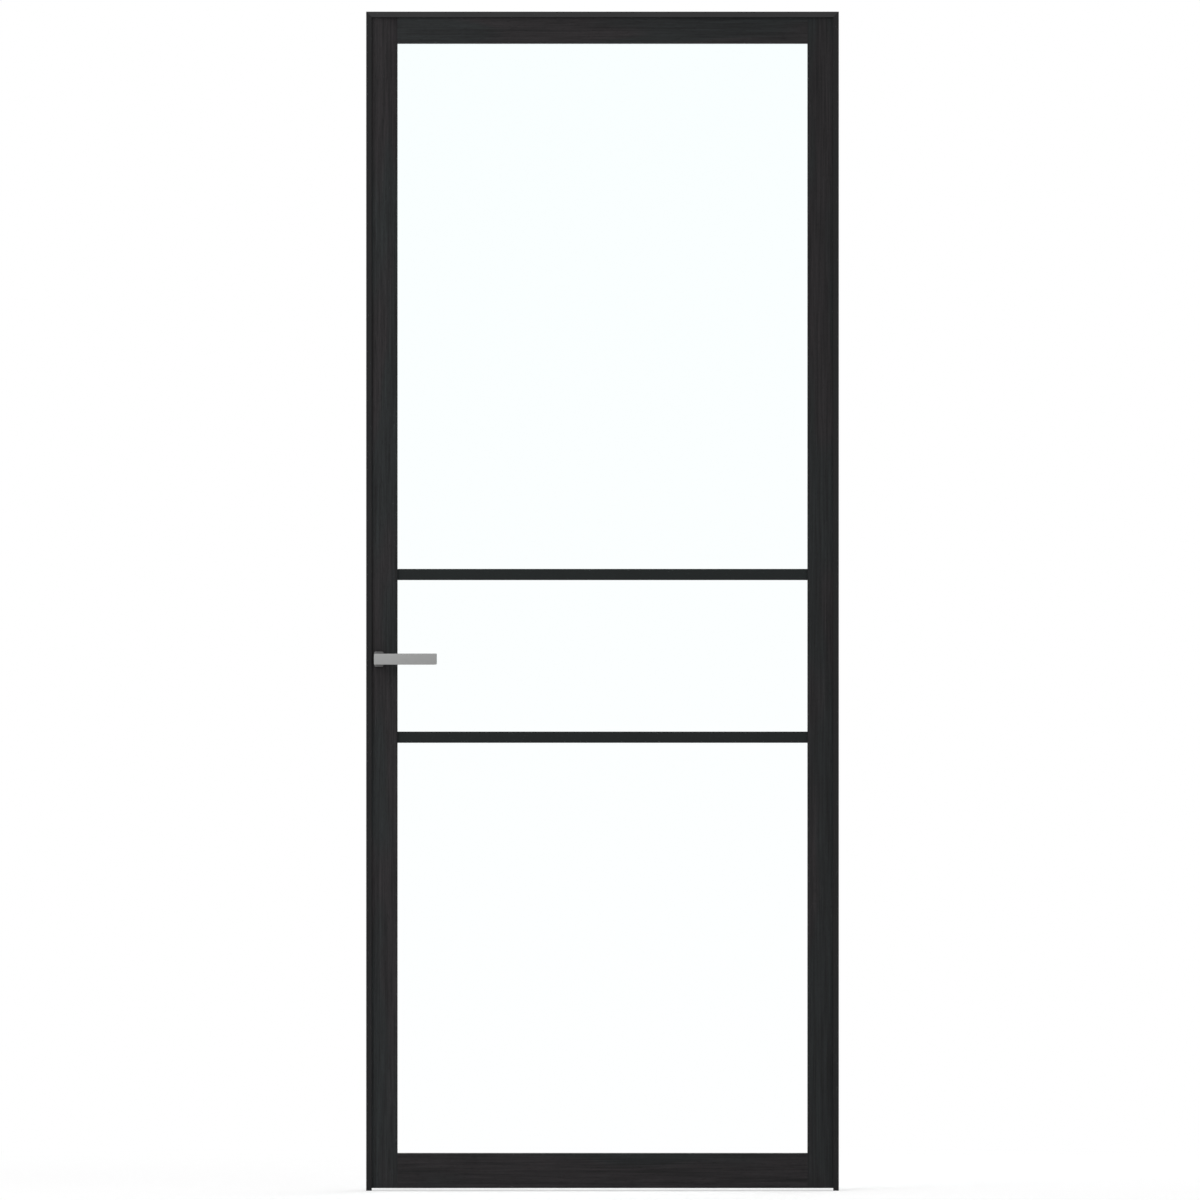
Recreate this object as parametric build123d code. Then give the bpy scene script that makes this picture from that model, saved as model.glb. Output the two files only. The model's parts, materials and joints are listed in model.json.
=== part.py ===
from build123d import *
import math
import os

# A slim glazed interior door, hung in a frame of black steel angle and opening to the back.
# X runs along the wall towards the hinges, Y from the front, where the stop lip is, to the back,
# and Z up. The origin is on the floor, midway between the jambs, in the mid plane of the leaf.

# Frame: steel angle, with its leg flat on the wall and its lip as the stop
FRAME_W = 930.0
FRAME_H = 2320.0
STEEL_T = 4.0
LIP_W = 11.0
ROOT_R = 1.0
OUTER_R = 0.8
SIDE_GAP = 3.0
HEAD_GAP = 3.0
FLOOR_GAP = 5.0

# Rubber seal on the back of the lip
SEAL_GAP = 3.0
SEAL_W = 5.0
SEAL_BASE_T = 1.2
SEAL_INSET = 0.5
SEAL_CLEAR = 0.2

# Leaf: two full-height stiles and two rails, with a rebate for the glass in their back
LEAF_T = 40.0
STILE_W = 54.5
TOP_RAIL_H = 55.4
BOTTOM_RAIL_H = 68.3
LEAF_EDGE_R = 1.0
REBATE_W = 12.0
DOWEL_R = 5.0
DOWEL_L = 70.0
DOWEL_EDGE = 14.0
DOWEL_PITCH = 21.0
DOWEL_CLEAR = 0.05
DOWEL_CHAMFER = 1.5

# Glass, with bedding tape on both faces, setting blocks and loose beads
GLASS_T = 6.0
GLASS_ARRIS = 0.8
GLASS_EDGE_GAP = 3.0
TAPE_T = 1.0
TAPE_W = 6.0
TAPE_INSET = 2.0
BLOCK_L = 80.0
BLOCK_FROM_EDGE = 90.0
BEAD_CHAMFER = 2.0
BEAD_PIN_R = 0.8
BEAD_PIN_L = 24.0
BEAD_PIN_SET = 8.0
BEAD_PIN_PITCH = 420.0

# Glazing bars, laid on both faces of the one pane
BAR_H = 22.0
BAR_T = 11.0
BAR_CHAMFER = 1.5
BAR_TAPE_W = 16.0
BAR_END_CLEAR = 0.1
UPPER_BAR_Z = 1212.5
LOWER_BAR_Z = 892.2

# Butt hinges
HINGE_H = 89.0
HINGE_COUNT = 4
LOWEST_HINGE_Z = 240.0
TOP_HINGE_DROP = 190.0
FLAP_T = 2.0
FLAP_IN_LEAF = 28.0
FLAP_CORNER_R = 5.0
KNUCKLES = 5
KNUCKLE_R = 5.0
KNUCKLE_GAP = 0.2
KNUCKLE_CLEAR = 0.5
HINGE_PIN_R = 3.0
PIN_CLEAR = 0.05
PIN_HEAD_R = 4.4
PIN_HEAD_H = 2.6
HINGE_SCREW_L = 30.0
HINGE_SCREW_NEAR = 8.0
HINGE_SCREW_FAR = 20.0
HINGE_SCREW_SPREAD = 30.0

# Wall fixings through the frame
FIXING_R = 3.25
FIXING_SINK_R = 6.0
FIXING_Y = 2.0
END_FIXING_Z = 120.0
MID_FIXING_Z = 620.0
END_FIXING_DROP = 100.0
MID_FIXING_DROP = 600.0
HEAD_FIXING_X = 250.0

# Latch lock in the stile
LEVER_Z = 1046.0
BACKSET = 18.0
LEVER_TURN = 40.0
LATCH_TRAVEL = 7.0
FOREND_T = 2.5
FOREND_W = 20.0
FOREND_H = 130.0
FOREND_RISE = 5.0
CASE_DEPTH = 31.5
CASE_W = 14.0
CASE_BELOW = 20.0
CASE_ABOVE = 34.0
CASE_WALL = 1.2
CASE_CLEAR = 0.2
POST_R = 2.6
POST_INSET = 4.2
HUB_R = 8.0
HUB_BOSS_R = 6.9
HUB_CLEAR = 0.1
HUB_SIDE_CLEAR = 0.3
ARM_W = 2.6
ARM_T = 5.0
ARM_TIP_R = 2.0
LATCH_W = 10.0
LATCH_H = 12.0
LATCH_RISE = 15.3
LATCH_TIP_GAP = 0.2
LATCH_NOSE_W = 3.0
LATCH_CLEAR = 0.15
LATCH_HEAD_BACK = 7.0
TAIL_H = 3.6
HOOK_T = 3.5
HOOK_DROP = 6.5
HOOK_CLEAR = 0.2
SPRING_WIRE_R = 0.4
SPRING_R = 2.2
SPRING_TURNS = 5
SPRING_END_CLEAR = 0.1
SPRING_DROP = 1.6

# Strike plate let into the latch jamb
STRIKE_T = 1.5
STRIKE_H = 64.0
STRIKE_W = 24.0
STRIKE_TONGUE_H = 24.0
STRIKE_HOLE_CLEAR = 0.8
STRIKE_SCREW_SPREAD = 24.0
STRIKE_EDGE_R = 1.2
STRIKE_CORNER_R = 3.0
SEAT_CLEAR = 0.1

# Lever handles, roses and spindle
SPINDLE_W = 8.0
SPINDLE_CLEAR = 0.05
SPINDLE_REACH = 55.0
SPINDLE_END_CLEAR = 0.3
SPINDLE_SWING_CLEAR = 1.2
SPINDLE_HOLE_CLEAR = 1.5
SPINDLE_CHAMFER = 0.8
LEVER_L = 122.5
LEVER_SHORT_END = 9.2
LEVER_H = 21.6
LEVER_T = 8.0
LEVER_PROJECTION = 50.0
LEVER_CORNER_R = 1.5
LEVER_EDGE_R = 0.8
NECK_R = 7.5
NECK_CLEAR = 0.1
NECK_END_CLEAR = 0.3
ROSE_W = 18.4
ROSE_H = 30.0
ROSE_T = 7.0
ROSE_CORNER_R = 3.0
ROSE_EDGE_R = 0.8
ROSE_WALL = 1.2
ROSE_BASE_T = 2.0
ROSE_BASE_CLEAR = 0.1
ROSE_SCREW_SPREAD = 10.3
ROSE_SCREW_L = 12.0
GRUB_R = 2.5
GRUB_FROM_FACE = 15.0
GRUB_SUNK = 0.3

# Screws, countersunk at 90 degrees
WOOD_HEAD_R = 3.6
WOOD_SHANK_R = 1.8
STEEL_HEAD_R = 3.6
STEEL_SHANK_R = 1.8
ROSE_HEAD_R = 2.7
ROSE_SHANK_R = 1.3
COVER_HEAD_R = 2.0
COVER_SHANK_R = 1.2
SCREW_TIP = 3.0
SCREW_CLEAR = 0.05
FOREND_SCREW_L = 22.0

# Kinds of screw: the radius of the head and of the shank
WOOD_SCREW = (WOOD_HEAD_R, WOOD_SHANK_R)
STEEL_SCREW = (STEEL_HEAD_R, STEEL_SHANK_R)
ROSE_SCREW = (ROSE_HEAD_R, ROSE_SHANK_R)
COVER_SCREW = (COVER_HEAD_R, COVER_SHANK_R)

# Faces and centre lines that several pieces share
FRAME_X = FRAME_W / 2
LEG_X = FRAME_X - STEEL_T
LEAF_X = LEG_X - SIDE_GAP
LEAF_TOP = FRAME_H - STEEL_T - HEAD_GAP
LEAF_BACK = LEAF_T / 2
LEAF_FRONT = -LEAF_BACK
LIP_BACK = LEAF_FRONT - SEAL_GAP
LIP_FRONT = LIP_BACK - STEEL_T
SIGHT_X = LEAF_X - STILE_W
SIGHT_TOP = LEAF_TOP - TOP_RAIL_H
SIGHT_BOTTOM = FLOOR_GAP + BOTTOM_RAIL_H
REBATE_X = SIGHT_X + REBATE_W
REBATE_TOP = SIGHT_TOP + REBATE_W
REBATE_BOTTOM = SIGHT_BOTTOM - REBATE_W
GLASS_FACE = GLASS_T / 2
TAPE_FACE = GLASS_FACE + TAPE_T
HINGE_X = LEG_X - (SIDE_GAP + FLAP_T) / 2
HINGE_Y = LEAF_BACK + KNUCKLE_R + KNUCKLE_CLEAR
SPINDLE_X = -LEAF_X + BACKSET
FOREND_BACK = -LEAF_X + FOREND_T
CASE_BACK = FOREND_BACK + CASE_DEPTH
LATCH_Z = LEVER_Z + LATCH_RISE
LATCH_TIP = -FRAME_X + LATCH_TIP_GAP
ARM_REACH = LATCH_TRAVEL / (2 * math.sin(math.radians(LEVER_TURN / 2)))
ARM_X = SPINDLE_X - LATCH_TRAVEL / 2
SPINDLE_SWEEP_R = SPINDLE_W / math.sqrt(2)
COVER_SCREW_L = CASE_W - CASE_WALL

# How far a cut runs past the face that it opens
PAST = 1.0


def block(x, y, z):
    """A box between its two limits on each axis."""
    centre = [(low + high) / 2 for low, high in (x, y, z)]
    return Pos(*centre) * Box(x[1] - x[0], y[1] - y[0], z[1] - z[0])


def prism(outline, axis, low, high):
    """An outline in the two other axes, carried along axis from low to high."""
    planes = {
        "x": Plane((low, 0, 0), x_dir=(0, 1, 0), z_dir=(1, 0, 0)),
        "y": Plane((0, high, 0), x_dir=(1, 0, 0), z_dir=(0, -1, 0)),
        "z": Plane((0, 0, low)),
    }
    plane = planes[axis]
    return extrude(plane * outline, amount=high - low, dir=plane.z_dir)


def polygon(*points):
    """A closed outline of straight lines."""
    return make_face(Polyline(*points, close=True))


def turned(profile, origin, direction):
    """A turned piece: a profile of radius and height, about an axis through origin."""
    outline = make_face(Polyline(*[(r, 0, h) for r, h in profile], close=True))
    return Plane(origin=origin, z_dir=direction) * revolve(outline, Axis.Z)


def rod(radius, start, end):
    """A round bar between two points."""
    along = Vector(*end) - Vector(*start)
    return turned([(0, 0), (radius, 0), (radius, along.length), (0, along.length)], start, along)


def screw(kind, head, direction, length, tip=SCREW_TIP):
    """A countersunk screw, its head flush with the face that it enters at head."""
    head_r, shank_r = kind
    sink = head_r - shank_r
    profile = [(0, 0), (head_r, 0), (shank_r, sink), (shank_r, length - tip), (0, length)]
    return turned(profile, head, direction)


def screw_hole(kind, head, direction, length):
    """The countersunk hole that a screw of this kind and length lies in."""
    head_r, shank_r = (radius + SCREW_CLEAR for radius in kind)
    sink = head_r - shank_r
    end = length + SCREW_CLEAR
    return turned([(0, 0), (head_r, 0), (shank_r, sink), (shank_r, end), (0, end)], head, direction)


def both_sides(piece):
    """A piece and its mirror image on the other side of the leaf's mid plane."""
    return [piece, mirror(piece, about=Plane.XZ)]


def together(pieces):
    """Separate solids that share one node."""
    return Compound(children=[solid for piece in pieces for solid in piece.solids()])


# Frame

def angle_section():
    """The steel angle, seen along its length: first axis in from the wall, second to the back."""
    outline = polygon(
        (0, LIP_FRONT), (LIP_W, LIP_FRONT), (LIP_W, LIP_BACK), (STEEL_T, LIP_BACK),
        (STEEL_T, LEAF_BACK), (0, LEAF_BACK),
    )
    outline = fillet(outline.vertices().sort_by_distance((STEEL_T, LIP_BACK, 0))[0], ROOT_R)
    for corner in ((0, LIP_FRONT, 0), (LIP_W, LIP_FRONT, 0), (STEEL_T, LEAF_BACK, 0)):
        outline = fillet(outline.vertices().sort_by_distance(corner)[0], OUTER_R)
    return outline


def seal_section():
    """The seal: a flat base on the lip, with a rounded face towards the leaf."""
    low = LIP_W - SEAL_INSET - SEAL_W
    high = LIP_W - SEAL_INSET
    crown = LEAF_FRONT - SEAL_CLEAR
    shoulder = LIP_BACK + SEAL_BASE_T
    sides = Polyline((high, shoulder), (high, LIP_BACK), (low, LIP_BACK), (low, shoulder))
    bulb = ThreePointArc((low, shoulder), ((low + high) / 2, crown), (high, shoulder))
    return make_face([sides, bulb])


def along_jamb(section):
    """A section carried up the latch jamb."""
    return extrude(Plane((-FRAME_X, 0, 0)) * section, amount=FRAME_H, dir=(0, 0, 1))


def along_head(section):
    """A section carried across the head."""
    plane = Plane((-FRAME_X, 0, FRAME_H), x_dir=(0, 0, -1), z_dir=(1, 0, 0))
    return extrude(plane * section, amount=FRAME_W, dir=(1, 0, 0))


def mitre_waste(keep_jamb):
    """What a mitre at the latch corner cuts from the jamb, or from the head."""
    size = LIP_W + PAST
    outer = (-FRAME_X, FRAME_H)
    inner = (-FRAME_X + size, FRAME_H - size)
    far = (-FRAME_X + size, FRAME_H) if keep_jamb else (-FRAME_X, FRAME_H - size)
    return prism(polygon(outer, inner, far), "y", LIP_FRONT - PAST, LEAF_BACK + PAST)


def fixing_hole(face, direction):
    """A countersunk hole for a wall screw, through the steel leg from its inner face."""
    sink = FIXING_SINK_R - FIXING_R
    profile = [(0, 0), (FIXING_SINK_R, 0), (FIXING_R, sink), (FIXING_R, STEEL_T), (0, STEEL_T)]
    return turned(profile, face, direction)


def plain_jamb():
    """The latch side's bar, before its strike: the hinge side's is its mirror image."""
    jamb = along_jamb(angle_section()) - mitre_waste(keep_jamb=True)
    upper = (FRAME_H - MID_FIXING_DROP, FRAME_H - END_FIXING_DROP)
    for z in (END_FIXING_Z, MID_FIXING_Z, *upper):
        jamb -= fixing_hole((-LEG_X, FIXING_Y, z), (-1, 0, 0))
    return jamb


def head_bar():
    """The frame's head."""
    waste = mitre_waste(keep_jamb=False)
    head = along_head(angle_section()) - waste - mirror(waste, about=Plane.YZ)
    for x in (-HEAD_FIXING_X, HEAD_FIXING_X):
        head -= fixing_hole((x, FIXING_Y, FRAME_H - STEEL_T), (0, 0, 1))
    return head


def seals():
    """Three strips of seal, mitred at the top corners."""
    waste = mitre_waste(keep_jamb=False)
    side = along_jamb(seal_section()) - mitre_waste(keep_jamb=True)
    head = along_head(seal_section()) - waste - mirror(waste, about=Plane.YZ)
    return {
        "seal_latch_side": side,
        "seal_hinge_side": mirror(side, about=Plane.YZ),
        "seal_head": head,
    }


def strike_outline(clear):
    """The strike plate seen along X, with a tongue that runs to the frame's back edge."""
    width = STRIKE_W + 2 * clear
    height = STRIKE_H + 2 * clear
    half_tongue = STRIKE_TONGUE_H / 2 + clear
    plate = Pos(0, LATCH_Z) * RectangleRounded(width, height, STRIKE_CORNER_R + clear)
    return plate + polygon(
        (0, LATCH_Z - half_tongue), (LEAF_BACK, LATCH_Z - half_tongue),
        (LEAF_BACK, LATCH_Z + half_tongue), (0, LATCH_Z + half_tongue),
    )


def latch_opening(clear, x):
    """A hole for the latch bolt's head, larger by clear all round, between two places on X."""
    half_w = LATCH_W / 2 + clear
    half_h = LATCH_H / 2 + clear
    return block(x, (-half_w, half_w), (LATCH_Z - half_h, LATCH_Z + half_h))


def strike_screw_heads():
    """Where the strike plate's screws enter it."""
    return [(-LEG_X, 0, LATCH_Z + step) for step in (-STRIKE_SCREW_SPREAD, STRIKE_SCREW_SPREAD)]


def strike_plate():
    """The strike plate, flush in the leg, with its tongue's end rounded for the latch to ride on."""
    plate = prism(strike_outline(0), "x", -LEG_X - STRIKE_T, -LEG_X)
    plate -= latch_opening(STRIKE_HOLE_CLEAR, (-FRAME_X, -LEG_X + PAST))
    tongue_end = plate.edges().sort_by_distance((-LEG_X, LEAF_BACK, LATCH_Z))[0]
    plate = fillet(tongue_end, STRIKE_EDGE_R)
    for head in strike_screw_heads():
        plate -= screw_hole(STEEL_SCREW, head, (-1, 0, 0), STEEL_T)
    return plate


def latch_jamb():
    """The latch side's bar, with the seat and the hole of the strike."""
    jamb = plain_jamb()
    jamb -= prism(strike_outline(SEAT_CLEAR), "x", -LEG_X - STRIKE_T, -LEG_X + PAST)
    jamb -= latch_opening(STRIKE_HOLE_CLEAR, (-FRAME_X - PAST, -LEG_X + PAST))
    for head in strike_screw_heads():
        jamb -= screw_hole(STEEL_SCREW, head, (-1, 0, 0), STEEL_T)
    return jamb


# Hinges

def hinge_heights():
    """The mid height of each hinge, from the lowest to the top one."""
    top = LEAF_TOP - TOP_HINGE_DROP
    step = (top - LOWEST_HINGE_Z) / (HINGE_COUNT - 1)
    return [LOWEST_HINGE_Z + step * i for i in range(HINGE_COUNT)]


def hinge_screw_places(z):
    """Where a hinge flap's screws sit: distance across and height."""
    near, far = LEAF_BACK - HINGE_SCREW_NEAR, LEAF_BACK - HINGE_SCREW_FAR
    return [(near, z - HINGE_SCREW_SPREAD), (far, z), (near, z + HINGE_SCREW_SPREAD)]


def knuckle_spans(z, first):
    """The heights of every second knuckle of a hinge, counted from first."""
    pitch = HINGE_H / KNUCKLES
    foot = z - HINGE_H / 2
    return [
        (foot + pitch * i + (KNUCKLE_GAP / 2 if i else 0),
         foot + pitch * (i + 1) - (KNUCKLE_GAP / 2 if i < KNUCKLES - 1 else 0))
        for i in range(first, KNUCKLES, 2)
    ]


def flap_plate(x, z, clear=0.0):
    """The flat of a flap between two places on X, or its seat when clear is its clearance."""
    half = HINGE_H / 2 + clear
    plate = block(x, (LEAF_BACK - FLAP_IN_LEAF - clear, LEAF_BACK), (z - half, z + half))
    return fillet(plate.edges().filter_by(Axis.X).group_by(Axis.Y)[0], FLAP_CORNER_R + clear)


def flap(face_x, inner_x, z, first, kind):
    """One flap: a plate from its face to its seat on X, with its own knuckles at the back."""
    near, far = sorted((face_x, inner_x))
    half = HINGE_H / 2
    plate = flap_plate((near, far), z)
    for low, high in knuckle_spans(z, first):
        plate += block((near, far), (LEAF_BACK, HINGE_Y), (low, high))
        plate += rod(KNUCKLE_R, (HINGE_X, HINGE_Y, low), (HINGE_X, HINGE_Y, high))
    plate -= rod(HINGE_PIN_R + PIN_CLEAR, (HINGE_X, HINGE_Y, z - half), (HINGE_X, HINGE_Y, z + half))
    towards = 1 if inner_x > face_x else -1
    for y, height in hinge_screw_places(z):
        plate -= screw_hole(kind, (face_x, y, height), (towards, 0, 0), HINGE_SCREW_L)
    return plate


def frame_flap(z):
    """The flap on the hinge jamb, which has the outer knuckles."""
    return flap(LEG_X - FLAP_T, LEG_X, z, 0, STEEL_SCREW)


def leaf_flap(z):
    """The flap let into the edge of the leaf."""
    return flap(LEAF_X, LEAF_X - FLAP_T, z, 1, WOOD_SCREW)


def hinge_pin(z):
    """The pin, with a button at each end."""
    foot = z - HINGE_H / 2
    top = HINGE_H
    button = PIN_HEAD_R / 2
    profile = [
        (0, -PIN_HEAD_H), (button, -PIN_HEAD_H), (PIN_HEAD_R, -PIN_HEAD_H / 2), (PIN_HEAD_R, 0),
        (HINGE_PIN_R, 0), (HINGE_PIN_R, top), (PIN_HEAD_R, top), (PIN_HEAD_R, top + PIN_HEAD_H / 2),
        (button, top + PIN_HEAD_H), (0, top + PIN_HEAD_H),
    ]
    return turned(profile, (HINGE_X, HINGE_Y, foot), (0, 0, 1))


def hinge_jamb():
    """The hinge side's bar, with tapped holes for the hinge screws."""
    jamb = mirror(plain_jamb(), about=Plane.YZ)
    for z in hinge_heights():
        for y, height in hinge_screw_places(z):
            jamb -= screw_hole(STEEL_SCREW, (LEG_X - FLAP_T, y, height), (1, 0, 0), STEEL_T + FLAP_T)
    return jamb


def hinge_screws():
    """The screws of all flaps: short ones in the jamb, long ones in the leaf."""
    places = [place for z in hinge_heights() for place in hinge_screw_places(z)]
    frame = [
        screw(STEEL_SCREW, (LEG_X - FLAP_T, y, z), (1, 0, 0), STEEL_T + FLAP_T, tip=0)
        for y, z in places
    ]
    leaf = [screw(WOOD_SCREW, (LEAF_X, y, z), (-1, 0, 0), HINGE_SCREW_L) for y, z in places]
    return {"hinge_screws_frame": together(frame), "hinge_screws_leaf": together(leaf)}


# Leaf

def dowel_places():
    """Where the dowels cross the joints between stiles and rails."""
    heights = [FLOOR_GAP + DOWEL_EDGE, FLOOR_GAP + DOWEL_EDGE + DOWEL_PITCH]
    heights += [LEAF_TOP - DOWEL_EDGE, LEAF_TOP - DOWEL_EDGE - DOWEL_PITCH]
    return [(side * SIGHT_X, 0, z) for side in (-1, 1) for z in heights]


def dowel(place, extra=0.0):
    """One dowel across a joint, or its hole when extra is its clearance."""
    x, y, z = place
    half = DOWEL_L / 2 + extra
    radius = DOWEL_R + extra
    tip = radius - DOWEL_CHAMFER
    length = 2 * half
    profile = [
        (0, 0), (tip, 0), (radius, DOWEL_CHAMFER), (radius, length - DOWEL_CHAMFER), (tip, length),
        (0, length),
    ]
    return turned(profile, (x - half, y, z), (1, 0, 0))


def plain_stile():
    """The latch side's stile, before the lock: the hinge side's is its mirror image."""
    stile = block((-LEAF_X, -SIGHT_X), (LEAF_FRONT, LEAF_BACK), (FLOOR_GAP, LEAF_TOP))
    outer = stile.edges().filter_by(Axis.Z).group_by(Axis.X)[0]
    stile = fillet(outer + stile.edges().filter_by(Axis.X), LEAF_EDGE_R)
    stile -= block((-REBATE_X, -SIGHT_X), (-TAPE_FACE, LEAF_BACK), (REBATE_BOTTOM, REBATE_TOP))
    for place in dowel_places():
        if place[0] < 0:
            stile -= dowel(place, DOWEL_CLEAR)
    return stile


def rail(outer_z, sight_z, rebate_z):
    """A rail between the stiles, with its rebate on the side of the glass."""
    low, high = sorted((outer_z, sight_z))
    rebate = sorted((sight_z, rebate_z))
    piece = block((-SIGHT_X, SIGHT_X), (LEAF_FRONT, LEAF_BACK), (low, high))
    levels = piece.edges().filter_by(Axis.X).group_by(Axis.Z)
    piece = fillet(levels[0] if outer_z < sight_z else levels[-1], LEAF_EDGE_R)
    piece -= block((-SIGHT_X, SIGHT_X), (-TAPE_FACE, LEAF_BACK), rebate)
    for place in dowel_places():
        if low < place[2] < high:
            piece -= dowel(place, DOWEL_CLEAR)
    return piece


def hinge_stile():
    """The hinge side's stile, with seats for the hinge flaps."""
    stile = mirror(plain_stile(), about=Plane.YZ)
    for z in hinge_heights():
        stile -= flap_plate((LEAF_X - FLAP_T, LEAF_X), z, SEAT_CLEAR)
        for y, height in hinge_screw_places(z):
            stile -= screw_hole(WOOD_SCREW, (LEAF_X, y, height), (-1, 0, 0), HINGE_SCREW_L)
    return stile


def latch_stile():
    """The latch side's stile, with the lock's pocket and the spindle's hole."""
    stile = plain_stile()
    stile -= forend_plate(SEAT_CLEAR)
    side = CASE_W / 2 + CASE_CLEAR
    pocket_z = (LEVER_Z - CASE_BELOW - CASE_CLEAR, LEVER_Z + CASE_ABOVE + CASE_CLEAR)
    stile -= block((FOREND_BACK, CASE_BACK + CASE_CLEAR), (-side, side), pocket_z)
    way = SPINDLE_SWEEP_R + SPINDLE_HOLE_CLEAR
    stile -= rod(way, (SPINDLE_X, LEAF_FRONT, LEVER_Z), (SPINDLE_X, LEAF_BACK, LEVER_Z))
    for head in forend_screw_heads():
        stile -= screw_hole(WOOD_SCREW, head, (1, 0, 0), FOREND_SCREW_L)
    for head, direction in rose_screw_heads():
        stile -= screw_hole(ROSE_SCREW, head, direction, ROSE_SCREW_L)
    return stile


def bead_pin_places():
    """Where the beads are pinned: each place with its direction."""
    y = LEAF_BACK - BEAD_PIN_SET
    middle_z = (SIGHT_BOTTOM + SIGHT_TOP) / 2
    places = []
    for step in (-2, -1, 0, 1, 2):
        z = middle_z + step * BEAD_PIN_PITCH
        places += [((side * SIGHT_X, y, z), (side, 0, 0)) for side in (-1, 1)]
    for step in (-0.5, 0.5):
        x = step * BEAD_PIN_PITCH
        places += [((x, y, SIGHT_TOP), (0, 0, 1)), ((x, y, SIGHT_BOTTOM), (0, 0, -1))]
    return places


def bead_pin(place, direction, extra=0.0):
    """One pin, driven square through a bead, or its hole when extra is its clearance."""
    end = [a + (BEAD_PIN_L + extra) * b for a, b in zip(place, direction)]
    return rod(BEAD_PIN_R + extra, place, end)


def without_bead_pins(piece):
    """A piece with the holes of the bead pins that reach it."""
    bounds = piece.bounding_box()
    for place, direction in bead_pin_places():
        hole = bead_pin(place, direction, SCREW_CLEAR)
        reach = hole.bounding_box()
        apart = (
            reach.max.X < bounds.min.X or reach.min.X > bounds.max.X
            or reach.max.Z < bounds.min.Z or reach.min.Z > bounds.max.Z
        )
        if not apart:
            piece -= hole
    return piece


# Glass

def upright_bead():
    """The latch side's bead, mitred at both ends."""
    outline = polygon(
        (-REBATE_X, REBATE_BOTTOM), (-SIGHT_X, SIGHT_BOTTOM),
        (-SIGHT_X, SIGHT_TOP), (-REBATE_X, REBATE_TOP),
    )
    bead = prism(outline, "y", TAPE_FACE, LEAF_BACK)
    corner = (-SIGHT_X, LEAF_BACK, (SIGHT_TOP + SIGHT_BOTTOM) / 2)
    return chamfer(bead.edges().filter_by(Axis.Z).sort_by_distance(corner)[0], BEAD_CHAMFER)


def cross_bead(sight_z, rebate_z):
    """The head or foot bead, mitred at both ends."""
    outline = polygon(
        (-REBATE_X, rebate_z), (-SIGHT_X, sight_z), (SIGHT_X, sight_z), (REBATE_X, rebate_z)
    )
    bead = prism(outline, "y", TAPE_FACE, LEAF_BACK)
    corner = (0, LEAF_BACK, sight_z)
    return chamfer(bead.edges().filter_by(Axis.X).sort_by_distance(corner)[0], BEAD_CHAMFER)


def glass_limits():
    """The pane's half width, foot and top."""
    return REBATE_X - GLASS_EDGE_GAP, REBATE_BOTTOM + GLASS_EDGE_GAP, REBATE_TOP - GLASS_EDGE_GAP


def glass_pane():
    """One clear pane behind and between all the bars."""
    half, foot, top = glass_limits()
    pane = block((-half, half), (-GLASS_FACE, GLASS_FACE), (foot, top))
    return chamfer(pane.edges(), GLASS_ARRIS)


def setting_blocks():
    """Blocks that carry the pane at its foot and hold it at its head."""
    half, foot, top = glass_limits()
    blocks = []
    for side in (-1, 1):
        centre = side * (half - BLOCK_FROM_EDGE)
        x = (centre - BLOCK_L / 2, centre + BLOCK_L / 2)
        blocks.append(block(x, (-GLASS_FACE, GLASS_FACE), (REBATE_BOTTOM, foot)))
        blocks.append(block(x, (-GLASS_FACE, GLASS_FACE), (top, REBATE_TOP)))
    return together(blocks)


def bedding_tape():
    """The front tape, a flat band round the pane just outside the sight line."""
    inner_x = SIGHT_X + TAPE_INSET
    inner_foot = SIGHT_BOTTOM - TAPE_INSET
    inner_top = SIGHT_TOP + TAPE_INSET
    y = (-TAPE_FACE, -GLASS_FACE)
    outer = block(
        (-inner_x - TAPE_W, inner_x + TAPE_W), y, (inner_foot - TAPE_W, inner_top + TAPE_W)
    )
    return outer - block((-inner_x, inner_x), y, (inner_foot, inner_top))


def glazing_bar(z):
    """A front bar, between the stiles, on its own tape."""
    half = BAR_H / 2
    x = (-SIGHT_X + BAR_END_CLEAR, SIGHT_X - BAR_END_CLEAR)
    bar = block(x, (-TAPE_FACE - BAR_T, -TAPE_FACE), (z - half, z + half))
    return chamfer(bar.edges().filter_by(Axis.X).group_by(Axis.Y)[0], BAR_CHAMFER)


def bar_tape(z):
    """The tape under a front bar."""
    half = BAR_TAPE_W / 2
    x = (-SIGHT_X + TAPE_INSET, SIGHT_X - TAPE_INSET)
    return block(x, (-TAPE_FACE, -GLASS_FACE), (z - half, z + half))


def glazing():
    """The pane and all that holds it in the leaf."""
    tape = bedding_tape()
    nodes = {
        "glass_pane": glass_pane(),
        "setting_blocks": setting_blocks(),
        "bedding_tape_front": tape,
        "bedding_tape_back": mirror(tape, about=Plane.XZ),
    }
    upright = without_bead_pins(upright_bead())
    nodes["bead_latch_side"] = upright
    nodes["bead_hinge_side"] = mirror(upright, about=Plane.YZ)
    nodes["bead_top"] = without_bead_pins(cross_bead(SIGHT_TOP, REBATE_TOP))
    nodes["bead_bottom"] = without_bead_pins(cross_bead(SIGHT_BOTTOM, REBATE_BOTTOM))
    nodes["bead_pins"] = together(bead_pin(*place) for place in bead_pin_places())
    tapes = []
    for name, z in (("upper", UPPER_BAR_Z), ("lower", LOWER_BAR_Z)):
        nodes[f"{name}_bar_front"], nodes[f"{name}_bar_back"] = both_sides(glazing_bar(z))
        tapes += both_sides(bar_tape(z))
    nodes["bar_tapes"] = together(tapes)
    return nodes


# Latch lock

def forend_span():
    """The foot and the top of the forend."""
    middle = LEVER_Z + FOREND_RISE
    return middle - FOREND_H / 2, middle + FOREND_H / 2


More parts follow.
